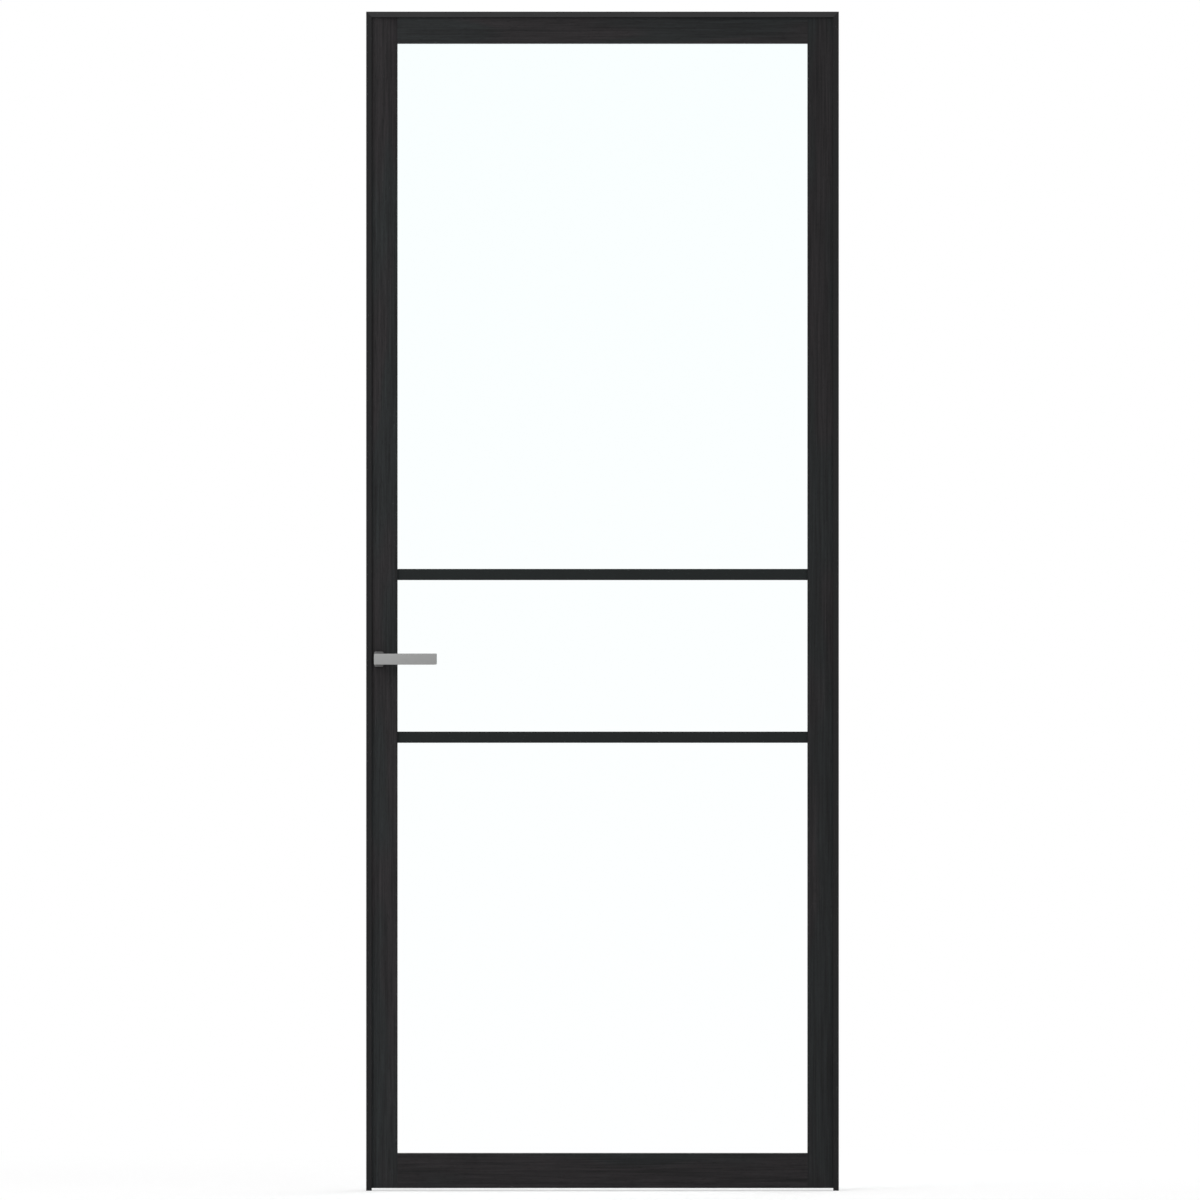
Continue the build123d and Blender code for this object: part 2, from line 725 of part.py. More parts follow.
def forend_screw_heads():
    """Where the forend's screws enter it, midway between the case and each end."""
    low, high = forend_span()
    heights = ((low + LEVER_Z - CASE_BELOW) / 2, (high + LEVER_Z + CASE_ABOVE) / 2)
    return [(-LEAF_X, 0, z) for z in heights]


def forend_plate(clear=0.0):
    """The plate with its round ends, or its seat in the leaf when clear is its clearance."""
    low, high = forend_span()
    slot = SlotOverall(FOREND_H + 2 * clear, FOREND_W + 2 * clear, rotation=90)
    return prism(Pos(0, (low + high) / 2) * slot, "x", -LEAF_X, FOREND_BACK)


def forend():
    """The plate in the edge of the leaf that the latch comes through."""
    plate = forend_plate()
    plate -= latch_opening(LATCH_CLEAR, (-LEAF_X - PAST, FOREND_BACK + PAST))
    for head in forend_screw_heads():
        plate -= screw_hole(WOOD_SCREW, head, (1, 0, 0), FOREND_SCREW_L)
    return plate


def post_places():
    """Where the case's three posts stand, clear of the latch."""
    back = CASE_BACK - POST_INSET
    low = LEVER_Z - CASE_BELOW + POST_INSET
    return [(FOREND_BACK + POST_INSET, low), (back, low), (back, LEVER_Z + CASE_ABOVE - POST_INSET)]


def hub_bore():
    """The hole that the follower's bosses turn in, through both sides of the case."""
    return rod(HUB_BOSS_R + HUB_CLEAR, (SPINDLE_X, -CASE_W, LEVER_Z), (SPINDLE_X, CASE_W, LEVER_Z))


def lock_case():
    """The case: a tray that is open to the front, with posts for the cover's screws."""
    x, z = (FOREND_BACK, CASE_BACK), (LEVER_Z - CASE_BELOW, LEVER_Z + CASE_ABOVE)
    front = -CASE_W / 2 + CASE_WALL
    case = block(x, (front, CASE_W / 2), z)
    case -= block(
        (x[0] + CASE_WALL, x[1] - CASE_WALL), (front, CASE_W / 2 - CASE_WALL),
        (z[0] + CASE_WALL, z[1] - CASE_WALL),
    )
    for post_x, post_z in post_places():
        case += rod(POST_R, (post_x, front, post_z), (post_x, CASE_W / 2, post_z))
        case -= screw_hole(COVER_SCREW, (post_x, -CASE_W / 2, post_z), (0, 1, 0), COVER_SCREW_L)
    return case - hub_bore() - latch_opening(LATCH_CLEAR, (FOREND_BACK, FOREND_BACK + CASE_WALL))


def lock_cover():
    """The flat cover on the case's front."""
    low, high = -CASE_W / 2, -CASE_W / 2 + CASE_WALL
    cover = block((FOREND_BACK, CASE_BACK), (low, high), (LEVER_Z - CASE_BELOW, LEVER_Z + CASE_ABOVE))
    for x, z in post_places():
        cover -= screw_hole(COVER_SCREW, (x, low, z), (0, 1, 0), COVER_SCREW_L)
    return cover - hub_bore()


def square_hole(length):
    """The square way for the spindle, along Y."""
    half = SPINDLE_W / 2 + SPINDLE_CLEAR
    return block(
        (SPINDLE_X - half, SPINDLE_X + half), (-length, length), (LEVER_Z - half, LEVER_Z + half)
    )


def follower():
    """The hub that the spindle turns, with an arm that draws the latch back."""
    side = CASE_W / 2 - CASE_WALL - HUB_SIDE_CLEAR
    hub = rod(HUB_R, (SPINDLE_X, -side, LEVER_Z), (SPINDLE_X, side, LEVER_Z))
    hub += rod(HUB_BOSS_R, (SPINDLE_X, -CASE_W / 2, LEVER_Z), (SPINDLE_X, CASE_W / 2, LEVER_Z))
    half = ARM_T / 2
    lean = Rot(0, -LEVER_TURN / 2, 0)
    web = block((-ARM_W / 2, ARM_W / 2), (-half, half), (0, ARM_REACH))
    tip = rod(ARM_TIP_R, (0, -half, ARM_REACH), (0, half, ARM_REACH))
    arm = Pos(SPINDLE_X, 0, LEVER_Z) * lean * (web + tip)
    return hub + arm - square_hole(CASE_W)


def hook_x():
    """The near face of the latch's hook, just clear of the arm's tip."""
    return ARM_X + ARM_TIP_R + HOOK_CLEAR


def latch_bolt():
    """The latch: a bevelled head, a tail over the arm, and a hook that the arm pushes."""
    half_w, half_h = LATCH_W / 2, LATCH_H / 2
    head_back = SPINDLE_X - LATCH_HEAD_BACK
    outline = polygon(
        (LATCH_TIP, half_w), (LATCH_TIP, half_w - LATCH_NOSE_W), (-LEAF_X, -half_w),
        (head_back, -half_w), (head_back, half_w),
    )
    head = prism(outline, "z", LATCH_Z - half_h, LATCH_Z + half_h)
    side = (-ARM_T / 2, ARM_T / 2)
    tail_z = (LATCH_Z - TAIL_H / 2, LATCH_Z + TAIL_H / 2)
    hook = (hook_x(), hook_x() + HOOK_T)
    tail = block((head_back, hook[1]), side, tail_z)
    return head + tail + block(hook, side, (LATCH_Z - HOOK_DROP, tail_z[1]))


def latch_spring():
    """The coil spring between the hook and the back of the case."""
    start = hook_x() + HOOK_T + SPRING_END_CLEAR + SPRING_WIRE_R
    end = CASE_BACK - CASE_WALL - SPRING_END_CLEAR - SPRING_WIRE_R
    length = end - start
    coil = Helix(pitch=length / SPRING_TURNS, height=length, radius=SPRING_R)
    section = Plane(origin=coil @ 0, z_dir=coil % 0) * Circle(SPRING_WIRE_R)
    spring = sweep(section, path=coil)
    return Plane((start, 0, LATCH_Z - SPRING_DROP), z_dir=(1, 0, 0)) * spring


def lock_screws():
    """The forend's wood screws and the cover's small ones."""
    long = [screw(WOOD_SCREW, head, (1, 0, 0), FOREND_SCREW_L) for head in forend_screw_heads()]
    short = [
        screw(COVER_SCREW, (x, -CASE_W / 2, z), (0, 1, 0), COVER_SCREW_L, tip=0)
        for x, z in post_places()
    ]
    return together(long + short)


# Lever handles

def rounded(width, height, radius):
    """A rounded rectangle about the spindle's axis, in X and Z."""
    return Pos(SPINDLE_X, LEVER_Z) * RectangleRounded(width, height, radius)


def rose_screw_heads():
    """Where the rose screws enter their bases, with their directions."""
    face = LEAF_FRONT - ROSE_BASE_T
    return [
        ((SPINDLE_X, side * face, LEVER_Z + step), (0, side, 0))
        for side in (1, -1) for step in (-ROSE_SCREW_SPREAD, ROSE_SCREW_SPREAD)
    ]


def rose_base():
    """The front rose's base, screwed to the leaf."""
    inset = 2 * (ROSE_WALL + ROSE_BASE_CLEAR)
    corner = ROSE_CORNER_R - inset / 2
    outline = rounded(ROSE_W - inset, ROSE_H - inset, corner)
    base = prism(outline, "y", LEAF_FRONT - ROSE_BASE_T, LEAF_FRONT)
    way = SPINDLE_SWEEP_R + SPINDLE_SWING_CLEAR
    face = (SPINDLE_X, LEAF_FRONT - ROSE_BASE_T, LEVER_Z)
    base -= rod(way, face, (SPINDLE_X, LEAF_FRONT, LEVER_Z))
    for head, direction in rose_screw_heads():
        if direction[1] > 0:
            base -= screw_hole(ROSE_SCREW, head, direction, ROSE_SCREW_L)
    return base


def rose_cover():
    """The front rose's cover, a shell that snaps over the base."""
    front = LEAF_FRONT - ROSE_T
    cover = prism(rounded(ROSE_W, ROSE_H, ROSE_CORNER_R), "y", front, LEAF_FRONT)
    cover = fillet(cover.faces().sort_by(Axis.Y)[0].edges(), ROSE_EDGE_R)
    inset = 2 * ROSE_WALL
    hollow = rounded(ROSE_W - inset, ROSE_H - inset, ROSE_CORNER_R - ROSE_WALL)
    cover -= prism(hollow, "y", front + ROSE_WALL, LEAF_FRONT)
    way = rod(NECK_R + NECK_CLEAR, (SPINDLE_X, front, LEVER_Z), (SPINDLE_X, LEAF_FRONT, LEVER_Z))
    return cover - way


def grub_place():
    """How far out from the leaf's face the grub screw sits, on the front."""
    return LEAF_FRONT - GRUB_FROM_FACE


def lever():
    """The front lever: a flat bar on a round neck, with a square socket for the spindle."""
    outer = LEAF_FRONT - LEVER_PROJECTION
    inner = outer + LEVER_T
    middle = SPINDLE_X - LEVER_SHORT_END + LEVER_L / 2
    outline = Pos(middle, LEVER_Z) * RectangleRounded(LEVER_L, LEVER_H, LEVER_CORNER_R)
    bar = prism(outline, "y", outer, inner)
    for side in (0, -1):
        bar = fillet(bar.faces().sort_by(Axis.Y)[side].edges(), LEVER_EDGE_R)
    neck_start = (outer + inner) / 2
    neck_end = LEAF_FRONT - ROSE_BASE_T - NECK_END_CLEAR
    piece = bar + rod(NECK_R, (SPINDLE_X, neck_start, LEVER_Z), (SPINDLE_X, neck_end, LEVER_Z))
    half = SPINDLE_W / 2 + SPINDLE_CLEAR
    socket = (-SPINDLE_REACH - SPINDLE_END_CLEAR, neck_end)
    piece -= block((SPINDLE_X - half, SPINDLE_X + half), socket, (LEVER_Z - half, LEVER_Z + half))
    y = grub_place()
    foot = (SPINDLE_X, y, LEVER_Z - NECK_R - PAST)
    return piece - rod(GRUB_R + SCREW_CLEAR, foot, (SPINDLE_X, y, LEVER_Z))


def grub_screw():
    """The screw under the front neck that grips the spindle."""
    y = grub_place()
    top = LEVER_Z - SPINDLE_W / 2
    return rod(GRUB_R, (SPINDLE_X, y, LEVER_Z - NECK_R + GRUB_SUNK), (SPINDLE_X, y, top))


def spindle():
    """The square bar through both levers and the follower."""
    half = SPINDLE_W / 2
    bar = block(
        (SPINDLE_X - half, SPINDLE_X + half), (-SPINDLE_REACH, SPINDLE_REACH),
        (LEVER_Z - half, LEVER_Z + half),
    )
    return chamfer(bar.edges().filter_by(Axis.Y, reverse=True), SPINDLE_CHAMFER)


def furniture():
    """Both levers with their roses, the spindle and the small screws."""
    nodes = {"spindle": spindle()}
    pairs = {"lever": lever(), "rose_base": rose_base(), "rose_cover": rose_cover()}
    for name, piece in pairs.items():
        nodes[f"{name}_front"], nodes[f"{name}_back"] = both_sides(piece)
    nodes["grub_screws"] = together(both_sides(grub_screw()))
    nodes["rose_screws"] = together(
        screw(ROSE_SCREW, head, direction, ROSE_SCREW_L) for head, direction in rose_screw_heads()
    )
    return nodes


def door():
    """Every node of the door, by name."""
    nodes = {"jamb_latch_side": latch_jamb(), "jamb_hinge_side": hinge_jamb(), "head": head_bar()}
    nodes.update(seals())
    nodes["strike_plate"] = strike_plate()
    nodes["strike_screws"] = together(
        screw(STEEL_SCREW, head, (-1, 0, 0), STEEL_T, tip=0) for head in strike_screw_heads()
    )
    for number, z in enumerate(hinge_heights(), 1):
        nodes[f"hinge_{number}_frame_flap"] = frame_flap(z)
        nodes[f"hinge_{number}_leaf_flap"] = leaf_flap(z)
        nodes[f"hinge_{number}_pin"] = hinge_pin(z)
    nodes.update(hinge_screws())
    nodes["stile_latch_side"] = without_bead_pins(latch_stile())
    nodes["stile_hinge_side"] = without_bead_pins(hinge_stile())
    nodes["top_rail"] = without_bead_pins(rail(LEAF_TOP, SIGHT_TOP, REBATE_TOP))
    nodes["bottom_rail"] = without_bead_pins(rail(FLOOR_GAP, SIGHT_BOTTOM, REBATE_BOTTOM))
    nodes["corner_dowels"] = together(dowel(place) for place in dowel_places())
    nodes.update(glazing())
    nodes.update({
        "lock_case": lock_case(),
        "lock_cover": lock_cover(),
        "lock_forend": forend(),
        "lock_screws": lock_screws(),
        "follower": follower(),
        "latch_bolt": latch_bolt(),
        "latch_spring": latch_spring(),
    })
    nodes.update(furniture())
    return nodes


os.makedirs("parts", exist_ok=True)
for node, shape in door().items():
    export_step(shape, f"parts/{node}.step")
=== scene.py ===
"""A glazed interior door of black stained oak in a slim steel frame, with its studio."""

import json
import math

import bmesh
import bpy
from bpy.props import FloatProperty, FloatVectorProperty, PointerProperty
from mathutils import Matrix, Quaternion, Vector

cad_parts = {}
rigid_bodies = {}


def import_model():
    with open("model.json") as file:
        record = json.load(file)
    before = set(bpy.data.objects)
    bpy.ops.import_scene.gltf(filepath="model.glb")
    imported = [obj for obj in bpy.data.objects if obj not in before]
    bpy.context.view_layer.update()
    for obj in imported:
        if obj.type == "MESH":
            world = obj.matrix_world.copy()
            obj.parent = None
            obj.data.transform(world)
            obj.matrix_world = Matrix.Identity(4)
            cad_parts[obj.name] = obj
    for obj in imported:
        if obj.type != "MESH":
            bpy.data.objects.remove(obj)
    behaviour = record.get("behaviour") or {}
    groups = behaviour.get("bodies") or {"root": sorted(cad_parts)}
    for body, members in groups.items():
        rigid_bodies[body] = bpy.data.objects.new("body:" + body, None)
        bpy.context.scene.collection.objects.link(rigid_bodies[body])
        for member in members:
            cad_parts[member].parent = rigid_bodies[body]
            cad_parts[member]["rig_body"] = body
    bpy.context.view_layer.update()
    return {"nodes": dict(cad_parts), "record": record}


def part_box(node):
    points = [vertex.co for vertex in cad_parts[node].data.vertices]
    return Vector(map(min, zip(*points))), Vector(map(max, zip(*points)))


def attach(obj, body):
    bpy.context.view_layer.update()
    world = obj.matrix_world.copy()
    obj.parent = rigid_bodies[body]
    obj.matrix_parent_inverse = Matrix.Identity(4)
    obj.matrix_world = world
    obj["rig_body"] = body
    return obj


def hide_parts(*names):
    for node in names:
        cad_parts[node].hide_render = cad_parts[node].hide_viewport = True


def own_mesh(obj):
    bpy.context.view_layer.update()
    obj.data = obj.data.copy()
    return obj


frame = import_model()

bl_info = {
    "name": "Glazed Interior Door",
    "version": (1, 0, 0),
    "blender": (4, 5, 0),
    "location": "3D View > Sidebar > Door",
    "description": "Finishes the pieces of a glazed door in its frame and sets up its studio",
    "category": "Object",
}

MM = 0.001

# Which way the grain runs in each board, and how much darker or paler its colour is drawn, the side
# of the hinges darker
BOARDS = {
    "stile_latch_side": ("Z", 1.06),
    "stile_hinge_side": ("Z", 0.79),
    "top_rail": ("X", 0.9),
    "bottom_rail": ("X", 0.89),
    "bead_latch_side": ("Z", 0.95),
    "bead_hinge_side": ("Z", 0.8),
    "bead_top": ("X", 0.9),
    "bead_bottom": ("X", 0.9),
}
JAMBS = ("jamb_latch_side", "jamb_hinge_side")
SEALS = ("seal_latch_side", "seal_hinge_side", "seal_head")
BARS = ("upper_bar_front", "upper_bar_back", "lower_bar_front", "lower_bar_back")
TAPES = ("bedding_tape_front", "bedding_tape_back", "bar_tapes")
HINGES = (1, 2, 3, 4)

# How far apart in the oak two boards were cut, and the width of one year's growth
BOARD_OFFSET = 3.7
YEAR_RING = 11 * MM

# Corners closer than the first are one, and the corners of an end face lie on it to the second
WELD_GAP = 0.001 * MM
FACE_GAP = 0.01 * MM

# Faces that meet flatter than the first are one, and an edge is sharp above the second, or
# on a screw above the third
FLAT_ANGLE = math.radians(0.2)
SHARP_ANGLE = math.radians(30)
SCREW_SHARP_ANGLE = math.radians(35)
BEVEL_SEGMENTS = 3

# Corners round a screw, circles of corners in one turn of its thread, and how much further
# round each screw was driven than the one before it
SCREW_SIDES = 24
RINGS_PER_TURN = 4
SPIN_STEP = 2.4

# The floor: its size, how white it is by itself near the door, and where it turns fully white
FLOOR_RADIUS = 14.0
FLOOR_SIDES = 96
WHITE_NEAR_DOOR = 0.45
WHITE_BETWEEN = (0.7, 3.0)
WHITE = (1.0, 1.0, 1.0, 1.0)

# Lamps and camera
KEY_PLACE = (-2.6, -4.6, 3.8)
FILL_PLACE = (2.6, 4.4, 3.6)
LAMP_AIM = (0.0, 0.0, 1.2)
IMAGE_SIZE = 1200
SENSOR_WIDTH = 36.0

# Inputs and the output of a Mix node that is set to colours
FIRST_COLOUR = 6
SECOND_COLOUR = 7
MIXED_COLOUR = 2


# Materials

class Socket:
    """An output of one of a material's nodes, so that maths on it reads as a plain expression."""

    def __init__(self, recipe, output):
        self.recipe = recipe
        self.output = output

    def __add__(self, other):
        return self.recipe.maths("ADD", self, other)

    def __radd__(self, other):
        return self.recipe.maths("ADD", other, self)

    def __sub__(self, other):
        return self.recipe.maths("SUBTRACT", self, other)

    def __rsub__(self, other):
        return self.recipe.maths("SUBTRACT", other, self)

    def __mul__(self, other):
        return self.recipe.maths("MULTIPLY", self, other)

    def __rmul__(self, other):
        return self.recipe.maths("MULTIPLY", other, self)

    def wave(self):
        """A smooth wave from 0 to 1 that repeats each time the value grows by 1."""
        return 0.5 + 0.5 * self.recipe.maths("SINE", self * math.tau)

    def rise(self, low, high):
        """0 below low, 1 above high, and smooth between them."""
        settings = {"interpolation_type": "SMOOTHSTEP"}
        sockets = {"Value": self, "From Min": low, "From Max": high}
        return self.recipe.node("ShaderNodeMapRange", settings, sockets)


class Recipe:
    """The nodes of one material, or of the world."""

    def __init__(self, owner):
        owner.use_nodes = True
        self.owner = owner
        self.tree = owner.node_tree
        self.tree.nodes.clear()

    def node(self, kind, settings, sockets, output=0):
        """One output of a new node, after its settings and the values or links of its sockets."""
        made = self.tree.nodes.new(kind)
        for name, value in settings.items():
            setattr(made, name, value)
        for key, value in sockets.items():
            if isinstance(value, Socket):
                self.tree.links.new(value.output, made.inputs[key])
            else:
                made.inputs[key].default_value = value
        return None if output is None else Socket(self, made.outputs[output])

    def maths(self, operation, *values):
        """A Math node on plain numbers and sockets."""
        return self.node("ShaderNodeMath", {"operation": operation}, dict(enumerate(values)))

    def vector(self, operation, *values, output=0):
        """A Vector Math node."""
        sockets = dict(enumerate(values))
        return self.node("ShaderNodeVectorMath", {"operation": operation}, sockets, output)

    def place(self, offset=0.0):
        """Where a point of the piece is, in metres, moved by offset so that boards differ."""
        here = self.node("ShaderNodeTexCoord", {}, {}, "Object")
        return self.vector("ADD", here, (offset,) * 3) if offset else here

    def noise(self, place, sizes, detail=2.0, distortion=0.0):
        """Noise with features of the given sizes along X, Y and Z, in metres."""
        spread = self.vector("MULTIPLY", place, [1 / size for size in sizes])
        sockets = {"Vector": spread, "Scale": 1.0, "Detail": detail, "Distortion": distortion}
        return self.node("ShaderNodeTexNoise", {}, sockets)

    def along(self, place, direction):
        """How far a point lies along a direction."""
        return self.vector("DOT_PRODUCT", place, direction, output="Value")

    def mix(self, share, first, second):
        """Two colours mixed: none of the second at 0, all of it at 1."""
        sockets = {0: share, FIRST_COLOUR: first, SECOND_COLOUR: second}
        return self.node("ShaderNodeMix", {"data_type": "RGBA"}, sockets, MIXED_COLOUR)

    def bump(self, height, depth):
        """A normal from a height of 0 to 1 that stands for depth, in metres."""
        return self.node("ShaderNodeBump", {}, {"Height": height, "Distance": depth})

    def shader(self, sockets):
        """A Principled shader."""
        return self.node("ShaderNodeBsdfPrincipled", {}, sockets)

    def done(self, shader):
        """The material or world, with this shader as its surface."""
        kind = "World" if isinstance(self.owner, bpy.types.World) else "Material"
        self.node(f"ShaderNodeOutput{kind}", {}, {"Surface": shader}, None)
        return self.owner


def recipe(name):
    """A recipe for a new material."""
    return Recipe(bpy.data.materials.new(name))


def shaded(colour, share):
    """A colour made darker or lighter by a share, as an opaque one of four numbers."""
    return (*(part * share for part in colour[:3]), 1.0)


def opaque(colour):
    """A colour of three numbers as one of four."""
    return (*colour, 1.0)


def sizes_along(grain, across, length):
    """Feature sizes for a grain that runs along an axis."""
    return [length if axis == grain else across for axis in "XYZ"]


def stained_oak(name, grain, shade, offset, finish):
    """Open-pored oak under a matt black stain, paler where shade is higher."""
    r = recipe(name)
    place = r.place(offset)
    dark, warm, cool = (
        shaded(tone, shade) for tone in (finish.oak_dark, finish.oak_warm, finish.oak_cool)
    )
    across = (0.0, 0.6, 0.8) if grain == "X" else (0.8, 0.6, 0.0)
    drift = r.noise(place, sizes_along(grain, 22 * MM, 550 * MM), detail=3.0, distortion=0.5)
    rings = (r.along(place, across) * (1 / YEAR_RING) + drift * 5.0).wave()
    fibre = r.noise(place, sizes_along(grain, 1.6 * MM, 70 * MM), detail=4.0)
    streak = r.noise(place, sizes_along(grain, 5 * MM, 250 * MM), detail=3.0)
    pores = r.noise(place, sizes_along(grain, 0.6 * MM, 11 * MM)).rise(0.6, 0.7)
    light = (0.35 * rings + 0.65 * streak.rise(0.3, 0.7)) * 0.6 + fibre.rise(0.3, 0.7) * 0.4
    tint = r.noise(place, sizes_along(grain, 60 * MM, 300 * MM), detail=1.0).rise(0.42, 0.58)
    colour = r.mix(light, dark, r.mix(tint, warm, cool))
    return r.done(r.shader({
        "Base Color": r.mix(pores * 0.6, colour, shaded(dark, 0.5)),
        "Roughness": 0.62 + 0.16 * pores - 0.06 * fibre,
        "Specular IOR Level": 0.12,
        "Normal": r.bump(0.3 * fibre + 0.7 * (1 - pores), 0.12 * MM),
    }))


def powder_coat(name, colour, texture, roughness, shine):
    """Baked paint on steel, with a fine even texture."""
    r = recipe(name)
    place = r.place()
    grit = r.noise(place, [texture] * 3)
    cloud = r.noise(place, [90 * MM] * 3)
    return r.done(r.shader({
        "Base Color": r.mix(cloud, shaded(colour, 0.85), shaded(colour, 1.15)),
        "Roughness": roughness + 0.1 * (grit - 0.5),
        "Specular IOR Level": shine,
        "Normal": r.bump(grit, 0.04 * MM),
    }))


def brushed_metal(name, colour, grain, roughness, contrast):
    """Metal with fine scratches along one axis."""
    r = recipe(name)
    place = r.place()
    scratch = r.noise(place, sizes_along(grain, 0.22 * MM, 12 * MM), detail=3.0)
    cloud = r.noise(place, [15 * MM] * 3)
    tone = scratch * 0.7 + cloud * 0.3
    return r.done(r.shader({
        "Base Color": r.mix(tone, shaded(colour, 1 - contrast), shaded(colour, 1 + contrast)),
        "Metallic": 1.0,
        "Roughness": roughness + 0.12 * (scratch - 0.5),
        "Normal": r.bump(scratch, 0.004 * MM),
    }))


def plated_steel(name, colour, roughness):
    """Plated or blackened steel, cloudy, with a little wear."""
    r = recipe(name)
    place = r.place()
    cloud = r.noise(place, [6 * MM] * 3, detail=4.0)
    speck = r.noise(place, [0.9 * MM] * 3).rise(0.6, 0.72)
    tone = r.mix(cloud, shaded(colour, 0.8), shaded(colour, 1.2))
    return r.done(r.shader({
        "Base Color": r.mix(speck * 0.35, tone, shaded(colour, 0.6)),
        "Metallic": 1.0,
        "Roughness": roughness + 0.14 * (cloud - 0.5),
        "Normal": r.bump(cloud, 0.01 * MM),
    }))


def soft_rubber(name, colour):
    """Matt rubber with a fine extruded skin."""
    r = recipe(name)
    skin = r.noise(r.place(), [1.2 * MM] * 3, detail=3.0)
    return r.done(r.shader({
        "Base Color": r.mix(skin, shaded(colour, 0.85), shaded(colour, 1.2)),
        "Roughness": 0.75 + 0.1 * (skin - 0.5),
        "Specular IOR Level": 0.2,
        "Normal": r.bump(skin, 0.03 * MM),
    }))


def bare_wood(name, colour):
    """Planed wood without a finish, along X."""
    r = recipe(name)
    fibre = r.noise(r.place(), sizes_along("X", 1.2 * MM, 30 * MM), detail=4.0)
    return r.done(r.shader({
        "Base Color": r.mix(fibre, shaded(colour, 0.75), shaded(colour, 1.15)),
        "Roughness": 0.6 + 0.1 * fibre,
        "Normal": r.bump(fibre, 0.03 * MM),
    }))


def moulded_plastic(name, colour):
    """Hard plastic with a fine mould texture."""
    r = recipe(name)
    grit = r.noise(r.place(), [0.8 * MM] * 3)
    return r.done(r.shader({
        "Base Color": r.mix(grit, shaded(colour, 0.9), shaded(colour, 1.1)),
        "Roughness": 0.5 + 0.1 * grit,
        "Normal": r.bump(grit, 0.02 * MM),
    }))


def clear_glass(name, top_tint_and_reflection, foot_tint, low, high):
    """Clear float glass that lets lamplight through, with its own tint and a painted reflection that
    deepens the tint towards its top.
    """
    r = recipe(name)
    height = r.along(r.place(), (0.0, 0.0, 1.0))
    # The tint grows from the foot to the top: a painted reflection over the glass's own tint
    tint = r.mix((height - low) * (1 / (high - low)), opaque(foot_tint), opaque(top_tint_and_reflection))
    glass = r.shader({
        "Base Color": tint,
        "Roughness": 0.0,
        "IOR": 1.5,
        "Transmission Weight": 1.0,
    })
    passed = r.node("ShaderNodeBsdfTransparent", {}, {"Color": opaque(top_tint_and_reflection)})
    lamp_ray = r.node("ShaderNodeLightPath", {}, {}, "Is Shadow Ray")
    return r.done(r.node("ShaderNodeMixShader", {}, {0: lamp_ray, 1: glass, 2: passed}))


# Meshes

def as_data(mesh, name):
    """A finished mesh as the data of a piece."""
    data = bpy.data.meshes.new(name)
    mesh.to_mesh(data)
    mesh.free()
    return data


def dress(piece, material):
    """Gives a piece its material."""
    if piece.material_slots:
        for slot in piece.material_slots:
            slot.material = material
    else:
        piece.data.materials.append(material)


def keep(nodes, material):
    """Gives a material to pieces that the frame already has in their final shape."""
    for name in nodes:
        dress(frame["nodes"][name], material)


def stand_in(node, mesh, material):
    """A new piece that replaces a node of the frame and moves with it."""
    piece = bpy.data.objects.new(node + "_detailed", mesh)
    bpy.context.scene.collection.objects.link(piece)
    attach(piece, frame["nodes"][node]["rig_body"])
    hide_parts(node)
    dress(piece, material)
    return piece


def welded(node):
    """A node's mesh with its doubled corners joined."""
    mesh = bmesh.new()
    mesh.from_mesh(frame["nodes"][node].data)
    bmesh.ops.remove_doubles(mesh, verts=mesh.verts, dist=WELD_GAP)
    return mesh


def softened(node, material, width, shortest=6 * MM):
    """A node with its long sharp edges rounded, as a sanded or coated edge is."""
    mesh = welded(node)
    bmesh.ops.dissolve_limit(
        mesh, angle_limit=FLAT_ANGLE, verts=mesh.verts, edges=mesh.edges, delimit={"NORMAL"}
    )
    weight = mesh.edges.layers.float.new("bevel_weight_edge")
    for edge in mesh.edges:
        sharp = edge.is_manifold and edge.calc_face_angle() > SHARP_ANGLE
        edge[weight] = 1.0 if sharp and edge.calc_length() > shortest else 0.0
        edge.smooth = not sharp
    for face in mesh.faces:
        face.smooth = True
    piece = stand_in(node, as_data(mesh, node + "_detailed"), material)
    bevel = piece.modifiers.new("Rounded edges", "BEVEL")
    bevel.limit_method = "WEIGHT"
    bevel.width = width
    bevel.segments = BEVEL_SEGMENTS
    bevel.harden_normals = True


def shortening(node, material, joint):
    """A copy of a spring along X that stands in for it and moves with its body; it keeps its length.
    """
    low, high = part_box(node)
    joints = {entry["name"]: entry for entry in frame["record"]["behaviour"]["joints"]}
    travel = joints[joint]["range_m"][1]
    piece = stand_in(node, frame["nodes"][node].data.copy(), material)
    1 - travel / (high.x - low.x)
    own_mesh(piece)


def solids(node):
    """The corners of each separate solid of a node."""
    mesh = welded(node)
    left = set(mesh.verts)
    found = []
    while left:
        front = [left.pop()]
        corners = []
        while front:
            vert = front.pop()
            corners.append(vert.co.copy())
            near = {edge.other_vert(vert) for edge in vert.link_edges} & left
            left -= near
            front.extend(near)
        found.append(corners)
    mesh.free()
    # An exact sum is the same in any order, so the solids come in the same order each time
    return sorted(found, key=lambda corners: [round(math.fsum(along), 5) for along in zip(*corners)])


class Turned:
    """Where a turned solid lies: the middle of its head, the way it points and its sizes."""

    def __init__(self, corners):
        low = Vector([min(c[i] for c in corners) for i in range(3)])
        high = Vector([max(c[i] for c in corners) for i in range(3)])
        size = high - low
        odd = [abs(size[i - 1] - size[i - 2]) for i in range(3)]
        axis = odd.index(min(odd))
        self.radius = max(size[axis - 1], size[axis - 2]) / 2
        self.length = size[axis]
        self.head = (low + high) / 2
        self.direction = Vector((0, 0, 0))
        self.direction[axis] = 1.0
        if self.reach(corners, axis, high[axis]) > self.reach(corners, axis, low[axis]):
            self.head[axis] = high[axis]
            self.direction.negate()
        else:
            self.head[axis] = low[axis]

    def reach(self, corners, axis, end):
        """How far the solid's face at one end reaches from its axis."""
        rim = [corner - self.head for corner in corners if abs(corner[axis] - end) < FACE_GAP]
        return max(math.hypot(offset[axis - 1], offset[axis - 2]) for offset in rim)


